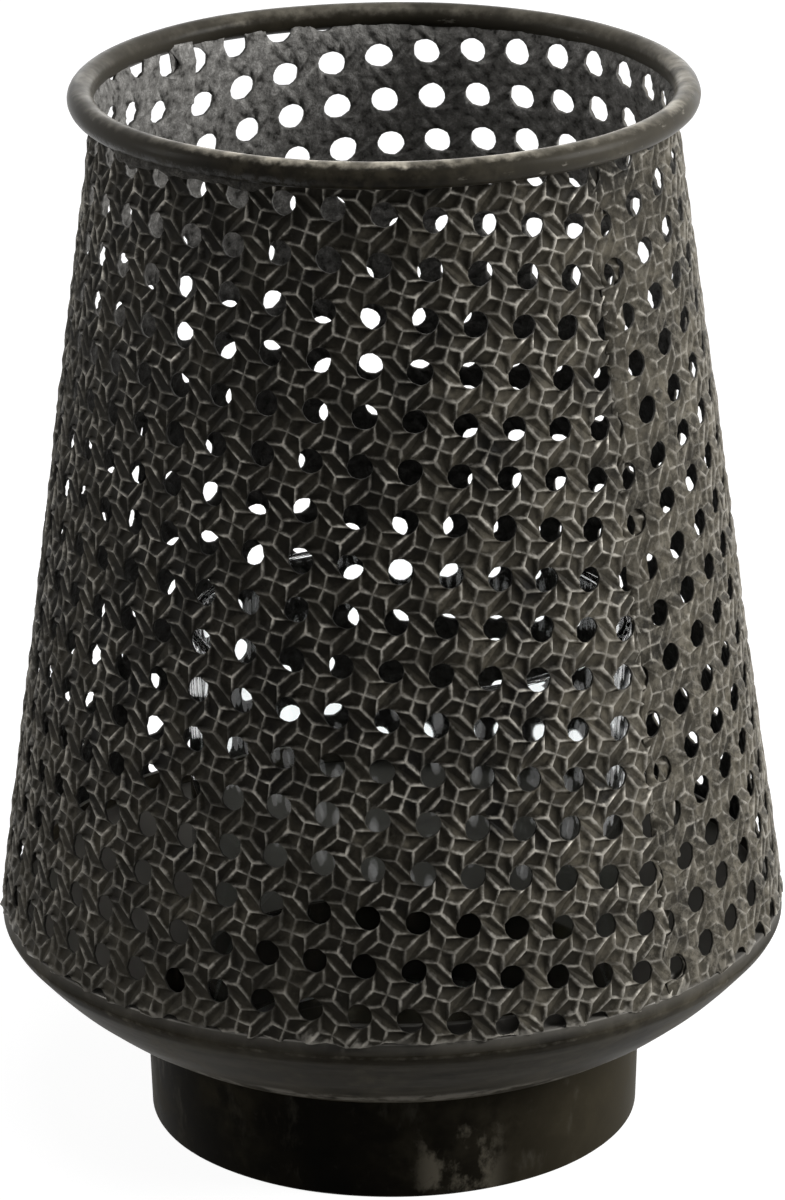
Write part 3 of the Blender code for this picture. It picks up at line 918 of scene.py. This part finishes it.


# %% [markdown]
# ** Pressed wall.** Dark in the fields, bronze-grey on the ridges. Its fields get painted
# shade at the left and above, dust lies on its right side, and its foot is duller. The
# inside of the sheet was never stained as heavily: it is plain grey steel, spotted and
# knobbly, and it gets painted shade, near black, further down inside the lantern.

# %% Wall finish
wall = dark_metal(
    "pressed_wall_finish", ground=grey(0.028, 0.26), thin=grey(0.108, 0.24), soot=grey(0.007, 0.2),
    worn=grey(0.46, 0.12), size=75.0, rub=(0.17, 1.16), bump=0.35, uneven=1.5, patches=520.0,
)
tree, place, axes = wall.tree, wall.place, axes_of(wall.tree, wall.place)
unrubbed = maths(tree, "SUBTRACT", 1.0, wall.rubbed)
# Painted shade: the fields darken towards the left, away from the main lamp, and towards the top.
painted_shade_left_top = ramped(tree, unrubbed, axes, ("X", 0.045, -0.04, 0.0, 0.62), ("Z", 0.08, 0.16, 0.25, 1.0))
dust = between(tree, noise(tree, place, 330.0, 4.0, 0.7), 0.44, 0.66, 0.12, 1.0)
dust = ramped(tree, dust, axes, ("X", 0.040, 0.078, 0.0, 0.38))
low_dull = ramped(tree, 1.0, axes, ("Z", 0.105, 0.065, 0.0, 0.34), ("X", 0.06, 0.02))
outer = layered(
    tree, wall.colour, (painted_shade_left_top, grey(0.009, 0.1)), (dust, grey(0.36, 0.18)), (low_dull, grey(0.05, 0.2))
)
steel = use(
    tree, stain, Place=place, Size=400.0, Ground=grey(0.20, 0.06), Thin=grey(0.42, 0.05),
    Soot=grey(0.06, 0.08),
)["Color"]
# Painted shade: the inside of the wall darkens to near black further down, deep in the lantern.
painted_shade_deep_inside = ramped(tree, 1.0, axes, ("Z", 0.235, 0.17, 0.0, 0.9))
inside = add_node(tree, "ShaderNodeAttribute", attribute_name="inside").outputs["Fac"]
inner = blend(tree, painted_shade_deep_inside, steel, grey(0.012, 0.1))
join(tree, blend(tree, inside, outer, inner), wall.shader.inputs["Base Color"])
knobs = maths(tree, "MULTIPLY", noise(tree, place, 480.0, 4.0, 0.65), inside)
join(tree, maths(tree, "MULTIPLY_ADD", knobs, 5.0, wall.height), wall.bumped.inputs["Height"])
shine(wall, rough=0.50, worn=-0.12, thin=0.06, bare=0.45, specular=0.05)
front_panel.data.materials.append(wall.material)
rear_panel.data.materials.append(wall.material)

# %% [markdown]
# ** Rim ring.** Rubbed bright on top, and that rubbing is also a painted highlight on its near
# side. It has painted shade at the back and the left and painted light at the right, and it is
# scratched at the right and spattered from welding under its left front.

# %% Ring finish
# The worn colour on the rubbed top is partly wear and partly a painted highlight.
rim = dark_metal(
    "satin_ring_finish", ground=grey(0.014, 0.32), thin=grey(0.048, 0.30), soot=grey(0.006, 0.2),
    worn=grey(0.60, 0.18), size=70.0, rub=(0.70, 1.10), bump=0.10, uneven=0.5,
)
tree, place, axes = rim.tree, rim.place, axes_of(rim.tree, rim.place)
# Painted shade: the far side of the ring is darkened.
ring_painted_shade_back = ramped(tree, 1.0, axes, ("Y", -0.02, 0.05, 0.0, 0.75))
# Painted light: the ring is lighter towards the right, where the main lamp shines.
ring_painted_light_right = ramped(tree, 1.0, axes, ("X", 0.0, 0.06, 0.0, 0.35))
# Painted shade: the ring's left side is darkened.
ring_painted_shade_left = ramped(tree, 1.0, axes, ("X", -0.030, -0.062, 0.0, 0.75))
scratches = streaky(tree, place, (1.0, 1.0, 2.6), 170.0, 0.63, 0.72)
scratches = ramped(tree, scratches, axes, ("X", -0.02, 0.05, 0.12, 0.8))
spatter = between(tree, noise(tree, place, 330.0, 4.0, 0.7), 0.44, 0.60)
spatter = ramped(tree, spatter, axes, ("Z", 0.2688, 0.2674), ("X", -0.012, -0.026), ("Y", 0.0, -0.012))
colour = layered(
    tree, rim.colour, (ring_painted_shade_back, grey(0.022, 0.3)), (ring_painted_light_right, grey(0.15, 0.2)),
    (ring_painted_shade_left, grey(0.058, 0.2)), (scratches, grey(0.24, 0.16)), (spatter, grey(0.11, 0.06)),
)
join(tree, colour, rim.shader.inputs["Base Color"])
join(tree, maths(tree, "MULTIPLY_ADD", spatter, 3.0, rim.height), rim.bumped.inputs["Height"])
# Painted shade at the back and the weld spatter hold back the rubbed top, itself partly a painted
# highlight.
dull = maths(tree, "MAXIMUM", ring_painted_shade_back, spatter)
bright = maths(tree, "MULTIPLY", rim.rubbed, maths(tree, "SUBTRACT", 1.0, dull))
shine(rim, rough=0.30, worn=-0.02, thin=0.10, bare=0.8, specular=0.05, rubbed=bright)
ring.data.materials.append(rim.material)

# %% [markdown]
# **Weld.** Grey and rough, and never polished: the recipe with small clouds is enough.

# %% Weld finish
solder = dark_metal(
    "rough_weld_finish", ground=grey(0.05, 0.12), thin=grey(0.16, 0.10), soot=grey(0.012, 0.1),
    worn=grey(0.26, 0.08), size=420.0, rub=(0.55, 1.30), bump=0.8,
)
shine(solder, rough=0.55, worn=0.0, thin=0.05, bare=0.3, specular=0.05)
weld.data.materials.append(solder.material)

# %% [markdown]
# ** Bowl.** Dark, with broad turning lines, and pale smears along its crease, which are also a
# painted highlight where the crease catches the light. The side that faces up, inside the
# lantern, was left as plain metal, like the inside of the wall. How far the surface's normal
# points up tells it apart.

# %% Bowl finish
dish = dark_metal(
    "spun_bowl_finish", ground=grey(0.030, 0.30), thin=grey(0.075, 0.26), soot=grey(0.010, 0.3),
    worn=grey(0.19, 0.18), size=46.0, rub=(0.30, 1.10), bump=0.08,
)
tree, place, axes = dish.tree, dish.place, axes_of(dish.tree, dish.place)
lines = maths(tree, "MULTIPLY", streaky(tree, place, (0.3, 0.3, 2.6), 85.0, 0.44, 0.68), 0.35)
# Pale smears round the crease, which are partly real smears and partly a painted highlight.
crease = streaky(tree, place, (1.0, 1.0, 0.6), 95.0, 0.43, 0.58)
crease = ramped(tree, crease, axes, ("Z", 0.0315, 0.0330, 0.0, 0.85), ("Z", 0.0378, 0.0358))
normal = axes_of(tree, add_node(tree, "ShaderNodeTexCoord").outputs["Normal"])
faces_up = ramped(tree, 1.0, normal, ("Z", 0.05, 0.3))
colour = layered(
    tree, dish.colour, (lines, grey(0.11, 0.2)), (crease, grey(0.26, 0.15)), (faces_up, grey(0.16, 0.1))
)
join(tree, colour, dish.shader.inputs["Base Color"])
shine(dish, rough=0.40, worn=-0.05, thin=0.08, bare=0.4, specular=0.011)
bowl.data.materials.append(dish.material)

# %% [markdown]
# ** Foot and floor.** The darkest metal, with painted light that makes it browner to the right,
# faint long smears all round and one patch on its front that was wiped pale.

# %% Foot and floor finish
base = dark_metal(
    "foot_finish", ground=grey(0.007, 0.30), thin=grey(0.028, 0.32), soot=grey(0.003, 0.2),
    worn=grey(0.09, 0.14), size=36.0, rub=(0.5, 1.2), bump=0.06,
)
tree, place, axes = base.tree, base.place, axes_of(base.tree, base.place)
# Painted light: lighter and browner towards the right, where the main lamp shines.
foot_painted_light_right = ramped(tree, 1.0, axes, ("X", 0.010, 0.055, 0.0, 0.6))
smears = maths(tree, "MULTIPLY", streaky(tree, place, (1.0, 1.0, 0.45), 75.0, 0.56, 0.72), 0.5)
wiped = streaky(tree, place, (1.0, 1.0, 0.7), 110.0, 0.48, 0.62)
wiped = ramped(tree, wiped, axes, ("X", 0.002, 0.010, 0.0, 0.8), ("X", 0.030, 0.020))
wiped = ramped(tree, wiped, axes, ("Y", -0.02, -0.04), ("Z", 0.024, 0.016))
colour = layered(
    tree, base.colour, (foot_painted_light_right, grey(0.05, 0.36)), (smears, grey(0.11, 0.2)), (wiped, grey(0.16, 0.24))
)
join(tree, colour, base.shader.inputs["Base Color"])
shine(base, rough=0.45, worn=-0.04, thin=0.10, bare=0.4, specular=0.01)
foot.data.materials.append(base.material)
pan.data.materials.append(base.material)

# %% [markdown]
# **Glass.** Clear, with a faint film on it that only changes how smooth it is. Its lower
# edge, which it stands on, is ground dull.

# %% Glass finish
clear, tree, shader, place = new_material("clear_glass_finish")
shader.inputs["Base Color"].default_value = (0.96, 0.98, 0.98, 1.0)
shader.inputs["Transmission Weight"].default_value = 1.0
shader.inputs["IOR"].default_value = 1.47
film = maths(tree, "MULTIPLY_ADD", streaky(tree, place, (1.0, 1.0, 0.1), 14.0, 0.40, 0.75), 0.04, 0.01)
ground_edge = ramped(tree, 1.0, axes_of(tree, place), ("Z", 0.0075, 0.0095, 0.6, 0.0))
join(tree, maths(tree, "ADD", film, ground_edge), shader.inputs["Roughness"])
glass.data.materials.append(clear)
print(clear.name, "has", len(tree.nodes), "nodes")

# %% [markdown]
# ## Table and background
# A wide pale floor catches the shadow. Where the camera, or something shiny or clear,
# looks at it or past it, it is plain white, as the photograph's ground is, but a touch
# greyer right under the lantern, as painted shade that deepens the shadow there. The light
# on the lantern itself comes from soft lamps.

# %% Table and background
AMBIENT = 0.055  # what the white room gives to everything that no lamp reaches
PAPER = (0.35, 0.35, 0.35, 1.0)  # how much lamp light the table sends back
# Painted shade: the floor's glow is weaker right under the lantern.
PAINTED_SHADE_WHITE, WHITE_FROM, WHITE_TO = 0.93, 0.12, 0.55  # under the lantern, and metres to white


def looked_at(tree):
    """1 for rays from the camera, from something glossy or through glass, else 0."""
    path = add_node(tree, "ShaderNodeLightPath").outputs
    seen = maths(tree, "MAXIMUM", path["Is Camera Ray"], path["Is Glossy Ray"])
    return maths(tree, "MAXIMUM", seen, path["Is Transmission Ray"])


table_points = np.array([(-4, -4, 0), (4, -4, 0), (4, 6, 0), (-4, 6, 0)], float)
table = make_piece("table", table_points, [(0, 1, 2, 3)])
paper, tree, shader, place = new_material("white_table")
tree.nodes.remove(shader)
diffuse = add_node(tree, "ShaderNodeBsdfDiffuse")
diffuse.inputs["Color"].default_value = PAPER
far = add_node(tree, "ShaderNodeVectorMath", operation="LENGTH")
join(tree, place, far.inputs[0])
white = between(tree, far.outputs["Value"], WHITE_FROM, WHITE_TO, PAINTED_SHADE_WHITE, 1.0)
glow = add_node(tree, "ShaderNodeEmission")
join(tree, maths(tree, "MULTIPLY", looked_at(tree), white), glow.inputs["Strength"])
both = add_node(tree, "ShaderNodeAddShader")
join(tree, diffuse.outputs[0], both.inputs[0])
join(tree, glow.outputs[0], both.inputs[1])
join(tree, both.outputs[0], tree.nodes["Material Output"].inputs["Surface"])
table.data.materials.append(paper)

world = bpy.data.worlds.new("white_room")
bpy.context.scene.world = world
world.use_nodes = True
sky = world.node_tree.nodes["Background"]
sky.inputs["Color"].default_value = (1.0, 1.0, 1.0, 1.0)
brightness = maths(world.node_tree, "MULTIPLY_ADD", looked_at(world.node_tree), 1 - AMBIENT, AMBIENT)
join(world.node_tree, brightness, sky.inputs["Strength"])

# %% [markdown]
# ## Lamps
# Soft oblong lamps light the lantern at a plain level. The main one stands at the right,
# a narrow one at the left draws a thin edge of light, one above reaches into the mouth,
# and one behind lights the back.

# %% Lamps
AIM = Vector((0.0, 0.0, 0.14))  # the wall's middle


def lamp(name, spot, width, height, power):
    """A soft oblong lamp, sized in metres, turned from its spot towards the wall's middle."""
    data = bpy.data.lights.new(name, "AREA")
    data.shape = "RECTANGLE"
    data.size, data.size_y = width, height
    data.energy = power
    light = bpy.data.objects.new(name, data)
    light.location = spot
    light.rotation_euler = (AIM - Vector(spot)).to_track_quat("-Z", "Y").to_euler()
    bpy.context.scene.collection.objects.link(light)
    print("lamp", name, "of", power, "W")


lamp("key_right", (1.3, -0.25, 0.75), 0.6, 0.7, 19.0)
lamp("fill_left", (-1.3, -0.1, 0.6), 0.16, 0.7, 3.3)
lamp("top", (0.05, -0.35, 1.5), 0.8, 0.8, 4.0)
lamp("back", (0.3, 1.8, 0.4), 1.6, 0.8, 3.0)

bpy.context.scene.view_settings.view_transform = "Standard"
